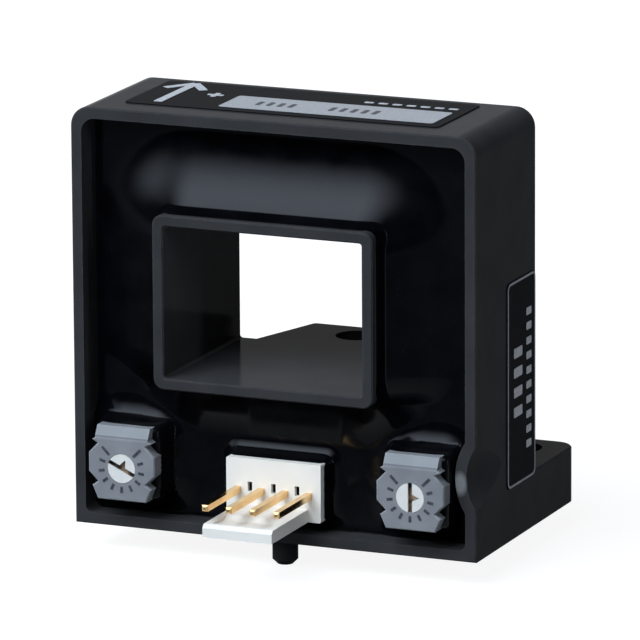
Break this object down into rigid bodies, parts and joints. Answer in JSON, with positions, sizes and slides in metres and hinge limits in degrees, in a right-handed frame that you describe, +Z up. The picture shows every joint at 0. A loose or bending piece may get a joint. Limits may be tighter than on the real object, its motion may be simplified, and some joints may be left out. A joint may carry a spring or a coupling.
{
  "type": "hall effect current sensor",
  "caption": "Panel-mounted Hall effect current sensor: black moulded case with a rectangular conductor tunnel, pin header and trimmers set in black resin.",
  "frame": {"origin": "axis of the locating peg in the mounting face, at the root of the peg", "axes": "+X to the right seen from the open front, +Y back from the open front along the conductor tunnel, +Z up from the mounting face"},
  "size_m": [0.0433, 0.0367, 0.0455],
  "materials": {
    "case_plastic": "fine moulded satin black",
    "resin": "cast gloss black",
    "board_laminate": "green solder mask",
    "core_steel": "stacked laminations",
    "chip_plastic": "moulded black",
    "ceramic": "fired ceramic",
    "tinned_metal": "tinned",
    "connector_nylon": "natural white nylon",
    "gold_plate": "gold plated",
    "trimmer_plastic": "blue-grey moulded",
    "rotor_plastic": "white moulded",
    "spring_brass": "stamped spring",
    "label_film": "printed black film"
  },
  "bodies": {
    "sensor": {"housing": "case_plastic", "potting_resin": "resin", "circuit_board": "board_laminate", "magnetic_core": "core_steel", "hall_element": "chip_plastic", "hall_lead_1": "tinned_metal", "hall_lead_2": "tinned_metal", "hall_lead_3": "tinned_metal", "amplifier_chip": "chip_plastic", "voltage_regulator": "chip_plastic", "protection_diode": "chip_plastic", "resistor_1": "ceramic", "resistor_2": "ceramic", "resistor_3": "ceramic", "resistor_4": "ceramic", "capacitor_1": "ceramic", "capacitor_2": "ceramic", "capacitor_3": "ceramic", "connector_body": "connector_nylon", "connector_pin_1": "gold_plate", "connector_pin_2": "gold_plate", "connector_pin_3": "gold_plate", "connector_pin_4": "gold_plate", "offset_trimmer_body": "trimmer_plastic", "offset_trimmer_element": "ceramic", "offset_trimmer_base": "trimmer_plastic", "offset_trimmer_terminal_1": "tinned_metal", "offset_trimmer_terminal_2": "tinned_metal", "offset_trimmer_terminal_3": "tinned_metal", "gain_trimmer_body": "trimmer_plastic", "gain_trimmer_element": "ceramic", "gain_trimmer_base": "trimmer_plastic", "gain_trimmer_terminal_1": "tinned_metal", "gain_trimmer_terminal_2": "tinned_metal", "gain_trimmer_terminal_3": "tinned_metal", "top_label": "label_film", "side_label": "label_film"},
    "offset_rotor": {"offset_trimmer_rotor": "rotor_plastic", "offset_trimmer_wiper": "spring_brass"},
    "gain_rotor": {"gain_trimmer_rotor": "rotor_plastic", "gain_trimmer_wiper": "spring_brass"}
  },
  "joints": [
    {"name": "offset_trimmer_turn", "type": "hinge", "parent": "sensor", "child": "offset_rotor", "pos_m": [-0.0155, -0.0051, 0.0066], "axis": [0, -1, 0], "range_deg": [-200, 70]},
    {"name": "gain_trimmer_turn", "type": "hinge", "parent": "sensor", "child": "gain_rotor", "pos_m": [0.0155, -0.0051, 0.0066], "axis": [0, -1, 0], "range_deg": [-135, 135]}
  ]
}
